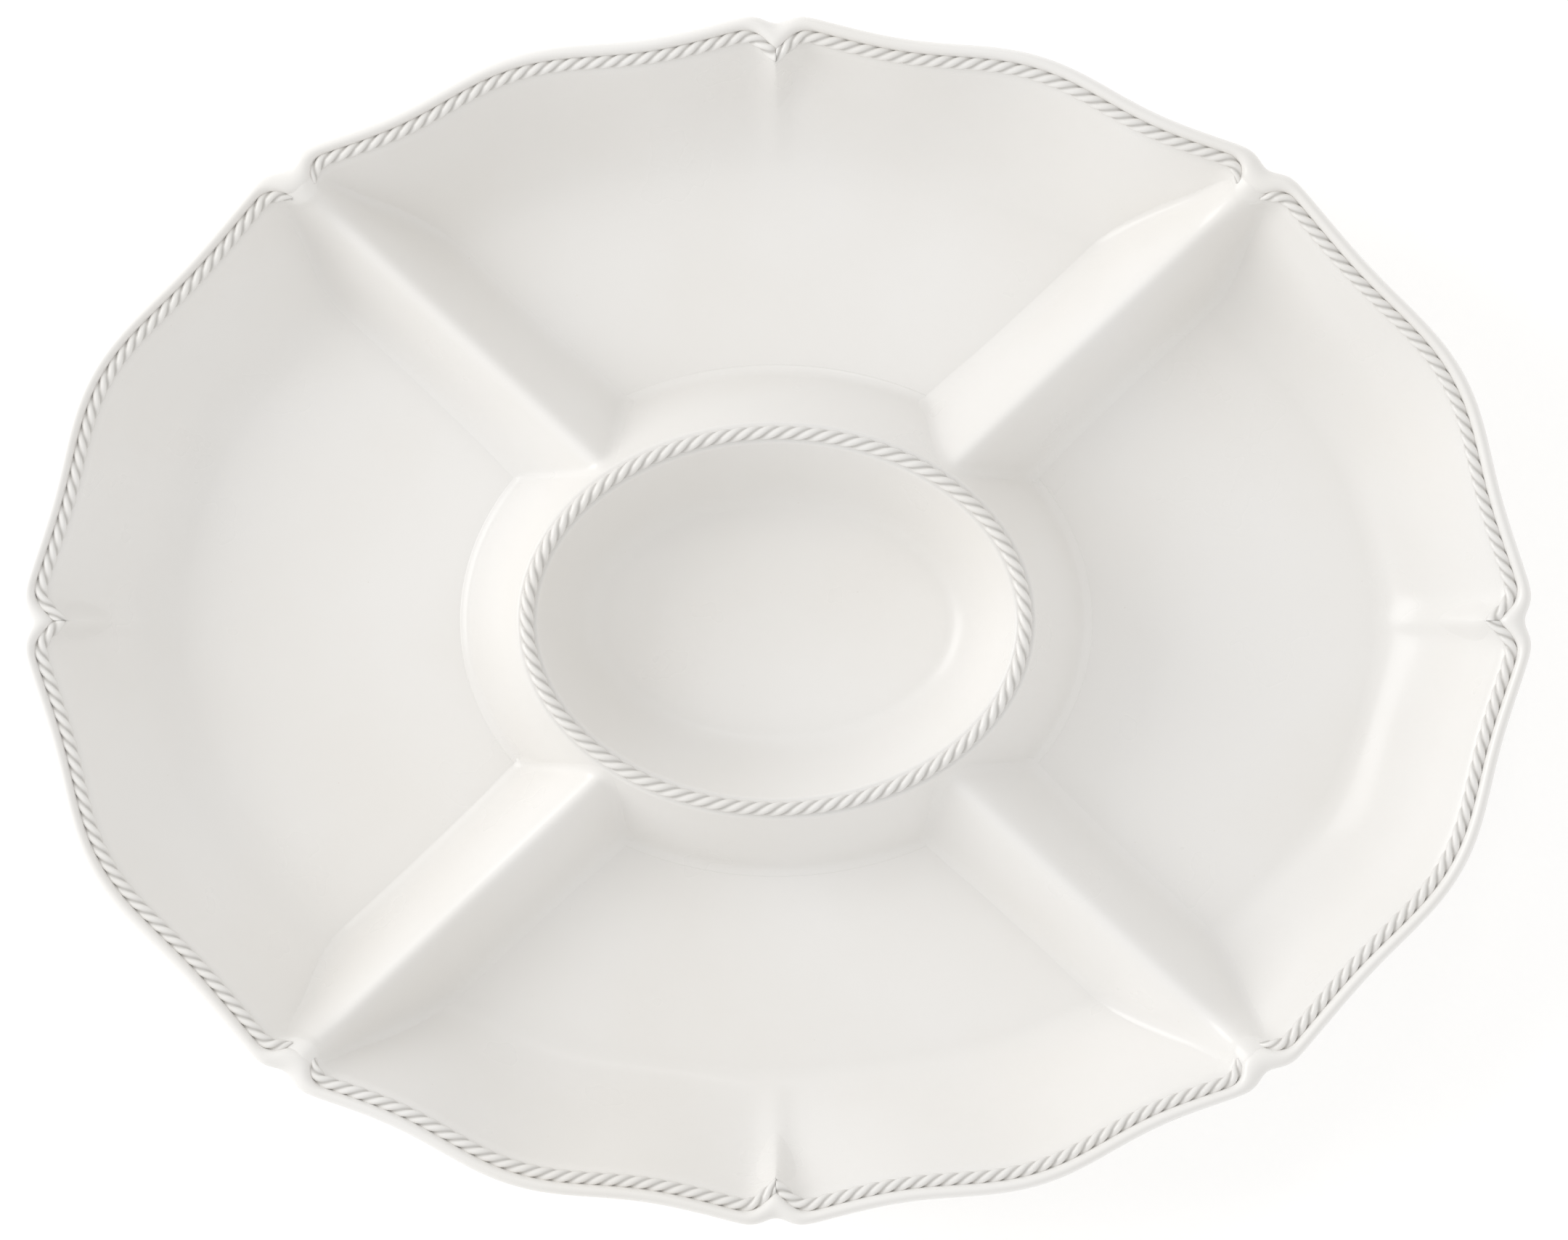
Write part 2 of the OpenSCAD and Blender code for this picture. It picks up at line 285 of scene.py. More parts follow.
    def beside_rope(self, x: Array, y: Array) -> Array:
        """Share of added clay that is left at points in plan, 0 under the rope and 1 beside it."""
        _, inset = self.insets(x, y)
        return ease(inset - self.wall_top_inset, *self.rope_fade)

    def top_height(self, x: Array, y: Array) -> Array:
        """Height of the tray's upper surface inside the lip, at points in plan."""
        a, shift = self.locate(x, y)
        swell, pleat = self.swell(a), self.pleat(a)
        u = np.zeros_like(x)
        for _ in range(self.wall_rounds):
            turn = self.wall_turn(np.clip(u, 0, 1))
            run = self.wall_run + (1 - self.floor_scallop) * swell
            u = (swell - self.wall_top_inset - shift - turn * pleat) / run
        seat_rise = (self.seat_out_height - self.seat_in_height) / self.rope_width
        on_seat = np.clip(-u * self.wall_run, 0, self.rope_width)
        seat = self.seat_in_height + seat_rise * on_seat
        return np.where(u < 0, seat, self.wall_height(np.clip(u, 0, 1)))


@dataclass(frozen=True)
class BowlForm:
    """The plain oval of the dip bowl, by the distance out from the edge of its rope."""

    length: float = 152 * MM
    width: float = 116 * MM
    height: float = 47 * MM
    inner_floor: float = 12 * MM
    wall: float = 5.5 * MM
    run: float = 20 * MM
    curve: float = 1.9
    rope_width: float = 5 * MM
    rope_rise: float = 2.2 * MM
    skirt_run: float = 16 * MM
    hole_margin: float = 4 * MM
    search_out: float = 0.3

    @property
    def seat(self) -> float:
        """Height of the seat that carries the rope."""
        return self.height - self.rope_rise

    def inside_height(self, u: float) -> float:
        """Height of the inside by its share u, 0 under the rope and 1 at its floor."""
        return self.inner_floor + (self.seat - self.inner_floor) * (1 - u) ** self.curve

    def inside_slope(self, u: float) -> float:
        """Slope of the inside as an angle, by its share u."""
        depth = self.seat - self.inner_floor
        return math.atan2(depth * self.curve * (1 - u) ** (self.curve - 1), self.run)

    def skirt_height(self, x: Array, y: Array, floor_top: float) -> Array:
        """Height of the skirt at points in plan, falling on below the floor outside its foot."""
        out = shift_onto(x, y, (self.length / 2, self.width / 2), self.search_out)
        slope = (self.seat - floor_top) / self.skirt_run
        return self.seat - slope * np.clip(out, 0, None)


# ---- workbench


class Bench:
    """Item work that several pieces share."""

    slab_middle = -0.5

    @staticmethod
    def clear() -> None:
        """Deselects everything, so that an operator acts on new work only."""
        if bpy.context.mode != "OBJECT":
            bpy.ops.object.mode_set(mode="OBJECT")
        bpy.ops.object.select_all(action="DESELECT")

    @staticmethod
    def named(name: str) -> Item:
        """Names the object that was just added and returns it."""
        piece = bpy.context.object
        piece.name = name
        piece.data.name = name
        return piece

    @staticmethod
    def points(piece: Item) -> Array:
        """Reads a mesh's vertices as rows of x, y and z."""
        co = np.empty(len(piece.data.vertices) * 3)
        piece.data.vertices.foreach_get("co", co)
        return co.reshape(-1, 3)

    @staticmethod
    def place(piece: Item, co: Array) -> None:
        """Writes a mesh's vertices from rows of x, y and z."""
        piece.data.vertices.foreach_set("co", np.ascontiguousarray(co, dtype=np.float32).ravel())
        piece.data.update()

    @staticmethod
    def close(piece: Item, cap: bool = False, merge: float = HAIR) -> None:
        """Merges doubled vertices, caps open ends if asked and turns every face outwards.

        Args:
            piece: The object to close.
            cap: Whether open edge loops are filled.
            merge: Distance within which vertices are merged.
        """
        Bench.clear()
        piece.select_set(True)
        bpy.context.view_layer.objects.active = piece
        bpy.ops.object.mode_set(mode="EDIT")
        bpy.ops.mesh.select_all(action="SELECT")
        bpy.ops.mesh.remove_doubles(threshold=merge)
        if cap:
            bpy.ops.mesh.select_all(action="SELECT")
            bpy.ops.mesh.fill_holes(sides=0)
        bpy.ops.mesh.select_all(action="SELECT")
        bpy.ops.mesh.normals_make_consistent(inside=False)
        if bmesh.from_edit_mesh(piece.data).calc_volume(signed=True) < 0:
            bpy.ops.mesh.flip_normals()
        bpy.ops.object.mode_set(mode="OBJECT")
        bpy.ops.object.shade_smooth()

    @staticmethod
    def slab(name: str, along: int, across: int) -> Item:
        """Rolls a closed slab, one unit square, with its top at 0 and its bottom at -1."""
        Bench.clear()
        bpy.ops.mesh.primitive_grid_add(x_subdivisions=along, y_subdivisions=across, size=1)
        piece = Bench.named(name)
        bpy.ops.object.mode_set(mode="EDIT")
        bpy.ops.mesh.select_all(action="SELECT")
        bpy.ops.mesh.extrude_region_move(TRANSFORM_OT_translate={"value": (0, 0, -1)})
        bpy.ops.object.mode_set(mode="OBJECT")
        return piece


@dataclass(frozen=True)
class Ring:
    """One ring of a thrown form: half axes, height, and shares of the scallop and of the turn."""

    long: float
    short: float
    height: float
    scallop: float = 0.0
    turn: float = 0.0


@dataclass(frozen=True)
class Wheel:
    """Throws a profile round, and presses the round form into the oval mould."""

    steps: int = 1152

    def throw(self, name: str, rings: list[Ring], is_closed: bool, form: OvalForm) -> Item:
        """Makes one piece from its rings.

        Args:
            name: Name of the piece.
            rings: Its profile, in order along the surface.
            is_closed: Whether the last ring joins the first. If not, both lie on the axis.
            form: The mould that gives the scallop and the inward turns.

        Returns:
            The pressed piece.
        """
        Bench.clear()
        bpy.ops.mesh.primitive_circle_add(vertices=len(rings), radius=0.1, fill_type="NOTHING")
        piece = Bench.named(name)
        profile = np.array([((r.long + r.short) / 2, 0, r.height) for r in rings])
        Bench.place(piece, profile)
        if not is_closed:
            self.open_profile(piece, len(rings))
        turning = piece.modifiers.new("wheel", "SCREW")
        turning.axis = "Z"
        turning.angle = FULL_TURN
        turning.steps = self.steps
        turning.render_steps = self.steps
        turning.use_merge_vertices = True
        turning.merge_threshold = HAIR
        bpy.ops.object.modifier_apply(modifier="wheel")
        Bench.close(piece)
        self.press(piece, rings, form)
        return piece

    @staticmethod
    def open_profile(piece: Item, count: int) -> None:
        """Removes the edge that joins a profile's last point to its first."""
        bpy.ops.object.mode_set(mode="EDIT")
        bpy.ops.mesh.select_mode(type="EDGE")
        bpy.ops.mesh.select_all(action="DESELECT")
        bpy.ops.object.mode_set(mode="OBJECT")
        for edge in piece.data.edges:
            edge.select = set(edge.vertices) == {0, count - 1}
        bpy.ops.object.mode_set(mode="EDIT")
        bpy.ops.mesh.delete(type="EDGE_FACE")
        bpy.ops.mesh.select_mode(type="VERT")
        bpy.ops.object.mode_set(mode="OBJECT")

    @staticmethod
    def press(piece: Item, rings: list[Ring], form: OvalForm) -> None:
        """Moves a round form's vertices to their places on the oval."""
        co = Bench.points(piece)
        table = np.array([(r.long, r.short, r.height, r.scallop, r.turn) for r in rings])
        round_radius = (table[:, 0] + table[:, 1]) / 2
        radius = np.hypot(co[:, 0], co[:, 1])
        ring = np.argmin(
            (radius[:, None] - round_radius) ** 2 + (co[:, 2][:, None] - table[:, 2]) ** 2, axis=1
        )
        long, short, height, scallop, turn = table[ring].T
        a = np.mod(np.arctan2(co[:, 1], co[:, 0]), FULL_TURN)
        shift = scallop * form.swell(a) - turn * form.pleat(a)
        x, y = (long + shift) * np.cos(a), (short + shift) * np.sin(a)
        Bench.place(piece, np.column_stack([x, y, height]))


# ---- finishes


class Pattern:
    """Shader nodes that the finishes are patterned with."""

    def __init__(self, name: str) -> None:
        """Starts a material of this name."""
        self.material = bpy.data.materials.new(name)
        self.material.use_nodes = True
        self.tree = self.material.node_tree
        self.shader = self.tree.nodes["Principled BSDF"]
        self.place = self.tree.nodes.new("ShaderNodeTexCoord").outputs["Object"]

    def drive(self, value: Socket, name: str) -> None:
        """Links a pattern to one of the shader's sockets."""
        self.tree.links.new(value, self.shader.inputs[name])

    def noise(self, size: float, detail: float) -> Socket:
        """Adds a noise with so many features to the metre, in the piece's own coordinates."""
        node = self.tree.nodes.new("ShaderNodeTexNoise")
        node.inputs["Scale"].default_value = size
        node.inputs["Detail"].default_value = detail
        self.tree.links.new(self.place, node.inputs["Vector"])
        return node.outputs["Fac"]

    def attribute(self, name: str) -> Socket:
        """Reads one of the piece's own attributes."""
        node = self.tree.nodes.new("ShaderNodeAttribute")
        node.attribute_name = name
        return node.outputs["Fac"]

    def product(self, first: Socket, second: Socket) -> Socket:
        """Multiplies two patterns."""
        node = self.tree.nodes.new("ShaderNodeMath")
        node.operation = "MULTIPLY"
        self.tree.links.new(first, node.inputs[0])
        self.tree.links.new(second, node.inputs[1])
        return node.outputs["Value"]

    def spread(self, value: Socket, source: Pair, to: Pair = (0, 1)) -> Socket:
        """Stretches the source range of a pattern to a new one."""
        node = self.tree.nodes.new("ShaderNodeMapRange")
        node.inputs["From Min"].default_value, node.inputs["From Max"].default_value = source
        node.inputs["To Min"].default_value, node.inputs["To Max"].default_value = to
        self.tree.links.new(value, node.inputs["Value"])
        return node.outputs["Result"]

    def blend(self, share: Socket, first: Socket | Colour, second: Colour) -> Socket:
        """Blends the second colour into the first by a pattern; the first may be a pattern too."""
        node = self.tree.nodes.new("ShaderNodeMix")
        node.data_type = "RGBA"
        node.inputs["B"].default_value = (*second, 1)
        self.tree.links.new(share, node.inputs["Factor"])
        if isinstance(first, tuple):
            node.inputs["A"].default_value = (*first, 1)
        else:
            self.tree.links.new(first, node.inputs["A"])
        return node.outputs["Result"]

    def bump(self, height: Socket, depth: float, under: Socket | None = None) -> Socket:
        """Adds a relief of this depth in metres, over the plain surface or over another relief."""
        node = self.tree.nodes.new("ShaderNodeBump")
        node.inputs["Strength"].default_value = 1.0
        node.inputs["Distance"].default_value = depth
        self.tree.links.new(height, node.inputs["Height"])
        if under is not None:
            self.tree.links.new(under, node.inputs["Normal"])
        return node.outputs["Normal"]


@dataclass(frozen=True)
class Glaze:
    """Glossy warm off-white glaze over buff clay, thinner in patches, pooled in hollows and with
    painted shade in the rope's grooves.
    """

    name: str = "cream_glaze"
    thick: Colour = (0.905, 0.893, 0.874)
    thin: Colour = (0.876, 0.857, 0.826)
    cloud_size: float = 11.0
    cloud_range: Pair = (0.32, 0.62)
    # Grey of the rope's grooves: partly pooled glaze, partly painted shade.
    pooled_and_shaded: Colour = (0.50, 0.485, 0.46)
    speck: Colour = (0.62, 0.55, 0.46)
    speck_size: float = 900.0
    speck_range: Pair = (0.80, 0.86)
    speck_strength: float = 0.35
    refraction: float = 1.52
    roughness: Pair = (0.26, 0.36)
    sheen_size: float = 34.0
    sheen_range: Pair = (0.3, 0.7)
    coat: float = 0.15
    coat_roughness: float = 0.12
    wave_size: float = 26.0
    wave_depth: float = 0.45 * MM
    peel_size: float = 420.0
    peel_depth: float = 0.02 * MM

    def mix(self) -> bpy.types.Material:
        """Builds the glaze's material."""
        pattern = Pattern(self.name)
        pattern.shader.inputs["IOR"].default_value = self.refraction
        pattern.shader.inputs["Coat Weight"].default_value = self.coat
        pattern.shader.inputs["Coat Roughness"].default_value = self.coat_roughness

        cloud = pattern.spread(pattern.noise(self.cloud_size, 4.0), self.cloud_range)
        tone = pattern.blend(cloud, self.thin, self.thick)
        cells = pattern.noise(self.speck_size, 1.0)
        specks = pattern.spread(cells, self.speck_range, (0, self.speck_strength))
        specked = pattern.blend(specks, tone, self.speck)
        # Darkens the rope's grooves by their depth: partly pooled glaze, partly painted shade.
        pattern.drive(pattern.blend(pattern.attribute("pool_and_shade"), specked, self.pooled_and_shaded), "Base Color")

        sheen = pattern.noise(self.sheen_size, 3.0)
        pattern.drive(pattern.spread(sheen, self.sheen_range, self.roughness), "Roughness")

        wave = pattern.bump(pattern.noise(self.wave_size, 0.0), self.wave_depth)
        peel = pattern.bump(pattern.noise(self.peel_size, 2.0), self.peel_depth, wave)
        pattern.drive(peel, "Normal")
        return pattern.material


@dataclass(frozen=True)
class BareClay:
    """Matt buff stoneware, wiped clean of glaze, with fine grog in it."""

    name: str = "bare_clay"
    pale: Colour = (0.78, 0.70, 0.59)
    dark: Colour = (0.62, 0.52, 0.41)
    roughness: float = 0.82
    cloud_size: float = 60.0
    grain_size: float = 1100.0
    grain_range: Pair = (0.12, 0.36)
    grain_depth: float = 0.12 * MM

    def mix(self) -> bpy.types.Material:
        """Builds the clay's material."""
        pattern = Pattern(self.name)
        pattern.shader.inputs["Roughness"].default_value = self.roughness
        cloud = pattern.noise(self.cloud_size, 5.0)
        grog = pattern.noise(self.grain_size, 2.0)
        share = pattern.spread(pattern.product(cloud, grog), self.grain_range)
        pattern.drive(pattern.blend(share, self.dark, self.pale), "Base Color")
        pattern.drive(pattern.bump(grog, self.grain_depth), "Normal")
        return pattern.material


@dataclass(frozen=True)
class TableTop:
    """Plain white studio table."""

    name: str = "table_top"
    colour: Colour = (0.97, 0.97, 0.97)
    roughness: float = 0.7
    specular: float = 0.2
    glow: float = 0.21

    def mix(self) -> bpy.types.Material:
        """Builds the table's material."""
        material = bpy.data.materials.new(self.name)
        material.use_nodes = True
        shader = material.node_tree.nodes["Principled BSDF"]
        shader.inputs["Base Color"].default_value = (*self.colour, 1)
        shader.inputs["Roughness"].default_value = self.roughness
        shader.inputs["Specular IOR Level"].default_value = self.specular
        shader.inputs["Emission Color"].default_value = (*self.colour, 1)
        shader.inputs["Emission Strength"].default_value = self.glow
        return material


# ---- pieces


@dataclass
class Piece:
    """What every piece has: its form, its finish and its node in the frame."""

    form: OvalForm
    bowl: BowlForm
    finish: bpy.types.Material

    def settle(self, piece: Item, node: str, slot: Slot) -> Item:
        """Gives a finished piece its material, and its place in the frame.

        Args:
            piece: The finished piece.
            node: The node that it stands for.
            slot: The record's material slot; not used.

        Returns:
            The same piece.
        """
        piece.data.materials.clear()
        piece.data.materials.append(self.finish)
        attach(piece, "root")
        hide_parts(node)
        low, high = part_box(node)
        co = Bench.points(piece)
        log.info(
            "%-24s %6d faces, %s to %s mm, node %s to %s mm",
            piece.name,
            len(piece.data.polygons),
            np.round(co.min(0) / MM, 1),
            np.round(co.max(0) / MM, 1),
            np.round(np.array(low) / MM, 1),
            np.round(np.array(high) / MM, 1),
        )
        return piece


@dataclass
class Tray(Piece):
    """The tray: floor with its opening, fluted wall, rope seat and rolled lip."""

    lip_half_width: float = 2.0 * MM
    lip_half_height: float = 3.4 * MM
    lip_degrees: range = range(8, 246, 14)
    lip_turn_fade: Pair = (10, 165)
    # Insets and heights of the rope seat's rings, in millimetres.
    seat_profile: tuple[Pair, ...] = ((6.9, 45.85), (5.6, 46.3), (4.6, 46.55))
    wall_rings: int = 22
    outer_rings: int = 15
    floor_rings: int = 7
    edge_radius: float = 1.2 * MM
    edge_turns: tuple[float, ...] = (0, 30, 60, 90)

    def floor_ring(self, share: float, height: float) -> Ring:
        """A ring of the floor, from the foot of the wall at share 0 to the opening at 1."""
        outer = np.array(self.form.half_axes) - self.form.floor_inset
        inner = np.array([self.bowl.length, self.bowl.width]) / 2 + self.bowl.hole_margin
        long, short = outer + (inner - outer) * share
        return Ring(long, short, height, self.form.floor_scallop * (1 - share))

    def rim_ring(self, inset: float, height: float, scallop: float = 1.0, turn: float = 0.0) -> Ring:
        """A ring at a distance in from the outline."""
        long, short = self.form.half_axes
        return Ring(long - inset, short - inset, height, scallop, turn)

    def opening(self) -> list[Ring]:
        """Rings round the rounded edge of the floor's opening, from its foot to its top."""
        ends = (
            (self.form.foot_height, self.edge_radius, self.edge_turns[::-1]),
            (self.form.floor_top, -self.edge_radius, self.edge_turns),
        )
        rings = []
        for height, rise, turns in ends:
            for turn in np.radians(turns):
                ring = self.floor_ring(1, height + rise * (1 - math.sin(turn)))
                out = self.edge_radius * (1 - math.cos(turn))
                rings.append(Ring(ring.long + out, ring.short + out, ring.height))
        return rings

    def inner_wall(self) -> list[Ring]:
        """Rings up the inner wall, from the floor to the rope's seat."""
        rings = []
        for u in np.linspace(1, 0, self.wall_rings):
            inset = self.form.wall_top_inset + self.form.wall_run * u
            height, turn = float(self.form.wall_height(u)), float(self.form.wall_turn(u))
            rings.append(self.rim_ring(inset, height, self.form.wall_scallop(u), turn))
        return rings

    def lip(self) -> list[Ring]:
        """Rings over the rope's seat and round the rolled lip."""
        rings = [self.rim_ring(inset * MM, height * MM, 1, 1) for inset, height in self.seat_profile]
        middle = self.form.height - self.lip_half_height
        for degrees in self.lip_degrees:
            angle = math.radians(degrees)
            inset = self.lip_half_width * (1 + math.cos(angle))
            height = middle + self.lip_half_height * math.sin(angle)
            rings.append(self.rim_ring(inset, height, 1, float(1 - ease(degrees, *self.lip_turn_fade))))
        return rings

    def outer_wall(self) -> list[Ring]:
        """Rings down the outside, square to the inner wall at the wall's thickness."""
        rings = []
        for u in np.linspace(0.0, 1.0, self.outer_rings):
            slope = self.form.wall_slope(u)
            inset = self.form.wall_top_inset + self.form.wall_run * u
            inset -= self.form.wall_thickness * math.sin(slope)
            height = float(self.form.wall_height(u)) - self.form.wall_thickness * math.cos(slope)
            height = max(height, self.form.foot_height)
            rings.append(self.rim_ring(inset, height, self.form.wall_scallop(u)))
        return rings

    def build(self) -> Item:
        """Throws the tray and presses it."""
        floor_shares = np.linspace(1, 0, self.floor_rings)[1:-1]
        rings = (
            self.opening()
            + [self.floor_ring(share, self.form.floor_top) for share in floor_shares]
            + self.inner_wall()
            + self.lip()
            + self.outer_wall()
            + [self.floor_ring(share, self.form.foot_height) for share in floor_shares[::-1]]
        )
        piece = Wheel().throw("glazed_tray", rings, True, self.form)
        return self.settle(piece, "tray", Slot.GLAZE)


@dataclass
class FootRing(Piece):
    """The bare clay ring that the tray stands on, with its edges sponged round."""

    inset: float = 6 * MM
    width: float = 8 * MM
    edge_radius: float = 1.1 * MM
    edge_rings: int = 5
    steps: int = 720

    def build(self) -> Item:
        """Throws the ring and presses it oval."""
        long, short = self.form.half_axes
        outer = self.form.floor_inset + self.inset
        rings = []
        for centre, start in (
            (outer + self.edge_radius, 180),
            (outer + self.width - self.edge_radius, 270),
        ):
            for degrees in np.linspace(0, 90, self.edge_rings):
                angle = math.radians(start + degrees)
                inset = centre + self.edge_radius * math.cos(angle)
                height = self.edge_radius + self.edge_radius * math.sin(angle)
                rings.append(Ring(long - inset, short - inset, height))
        top = self.form.foot_height
        for inset in (outer + self.width, outer + self.width / 2, outer):
            rings.append(Ring(long - inset, short - inset, top))
        piece = Wheel(self.steps).throw("bare_foot_ring", rings, True, self.form)
        return self.settle(piece, "foot_ring", Slot.CLAY)


@dataclass
class CentreBowl(Piece):
    """The dip bowl hung inside its sloping skirt, hollow between the two."""

    floor_dish: float = 0.35 * MM
    floor_shares: tuple[float, ...] = (0, 0.06, 0.2, 0.4, 0.6, 0.8)
    # Rings over the crown and at the skirt's foot, in millimetres: outwards, and down or up.
    crown: tuple[Pair, ...] = ((-3.9, 0.4), (-2.5, 0.6), (-1.1, 0.4))
    foot: tuple[Pair, ...] = ((-0.7, 1.95), (0, 1.1), (0.9, 0.48), (2, 0.1), (3, -0.15))
    skirt_stop: float = 1.4 * MM
    inside_rings: int = 21
    skirt_rings: int = 14
    hollow_rings: int = 9
    back_rings: int = 12
    back_start: float = 0.22
    joint_depth: float = 0.15 * MM
    steps: int = 576

    def ring(self, out: float, height: float) -> Ring:
        """A ring at a distance out from the edge of the bowl's rope."""
        return Ring(self.bowl.length / 2 + out, self.bowl.width / 2 + out, height)

    def inner_floor(self, height: float, dish: float) -> list[Ring]:
        """Rings of a floor of the bowl, from its middle out to the foot of its wall."""
        out = -self.bowl.rope_width - self.bowl.run
        long, short = self.bowl.length / 2 + out, self.bowl.width / 2 + out
        shares = self.floor_shares
        return [Ring(long * s, short * s, height - dish * (1 - s**2)) for s in shares]

    def inside(self) -> list[Ring]:
        """Rings up the inside of the bowl."""
        return [
            self.ring(-self.bowl.rope_width - self.bowl.run * u, self.bowl.inside_height(u))
            for u in np.linspace(1, 0, self.inside_rings)
        ]

    def crown_and_skirt(self) -> list[Ring]:
        """Rings over the rope's seat and down the skirt to its filleted foot."""
        seat, floor_top = self.bowl.seat, self.form.floor_top
        slope = (seat - floor_top) / self.bowl.skirt_run
        rings = [self.ring(out * MM, seat - drop * MM) for out, drop in self.crown]
        for out in np.linspace(0, self.bowl.skirt_run - self.skirt_stop, self.skirt_rings):
            rings.append(self.ring(out, seat - slope * out))
        for beyond, rise in self.foot:
            rings.append(self.ring(self.bowl.skirt_run + beyond * MM, floor_top + rise * MM))
        return rings

    def hollow(self) -> list[Ring]:
        """Rings up the back of the skirt and down the back of the bowl."""
        seat, floor_top = self.bowl.seat, self.form.floor_top
        slope = math.atan2(seat - floor_top, self.bowl.skirt_run)
        foot = self.bowl.skirt_run - self.bowl.wall / math.sin(slope)
        crown = seat - self.bowl.wall
        rings = [self.ring(foot, floor_top - self.joint_depth)]
        for share in np.linspace(0, 1, self.hollow_rings)[1:]:
            height = floor_top + (crown - floor_top) * share
            rings.append(self.ring(foot - (height - floor_top) / math.tan(slope), height))
        for u in np.linspace(self.back_start, 1, self.back_rings):
            tilt = self.bowl.inside_slope(u)
            out = -self.bowl.rope_width - self.bowl.run * u + self.bowl.wall * math.sin(tilt)
            height = self.bowl.inside_height(u) - self.bowl.wall * math.cos(tilt)
            rings.append(self.ring(out, height))
        return rings

    def build(self) -> Item:
        """Throws the bowl and presses it oval."""
        rings = (
            self.inner_floor(self.bowl.inner_floor, self.floor_dish)
            + self.inside()
            + self.crown_and_skirt()
            + self.hollow()
            + self.inner_floor(self.bowl.inner_floor - self.bowl.wall, 0)[::-1]
        )
        piece = Wheel(self.steps).throw("dip_bowl", rings, False, self.form)
        return self.settle(piece, "centre_bowl", Slot.GLAZE)


@dataclass
class LutedRidge(Piece):
    """A ridge of clay laid over the tray, with edges that dip just under the tray's surface."""

    crest_round: float = 2 * MM
    side_slope: float = 2.0
    sink: float = 0.12 * MM
    feather: float = 0.25 * MM
    clay_under: float = 0.6 * MM

    def flanks(self, crest: Array, across: Array) -> Array:
        """Height of the ridge by the height of its crest and the distance from it."""
        bend = self.crest_round
        return crest - self.side_slope * (np.sqrt(across**2 + bend**2) - bend)

    @staticmethod
    def plan(start: Array, ahead: Array, along: Array, across: Array) -> tuple[Array, Array]:
        """X and y by the distances along a direction in plan and to its left."""
        aside = np.array([-ahead[1], ahead[0]])
        x = start[0] + along * ahead[0] + across * aside[0]
        y = start[1] + along * ahead[1] + across * aside[1]
        return x, y

    def luted(self, support: Array, stands: Array) -> Array:
        """Height of the clay's top by what it lies on and how far it stands above that."""
        return support + stands - self.sink * (1 - ease(stands, 0, self.feather))

    def lay(self, piece: Item, x: Array, y: Array, support: Array, top: Array) -> None:
        """Lays a flat slab in its place, between the surface under it and its top, and closes it."""
        is_under = Bench.points(piece)[:, 2] < Bench.slab_middle
        Bench.place(piece, np.column_stack([x, y, np.where(is_under, support - self.clay_under, top)]))
        Bench.close(piece)


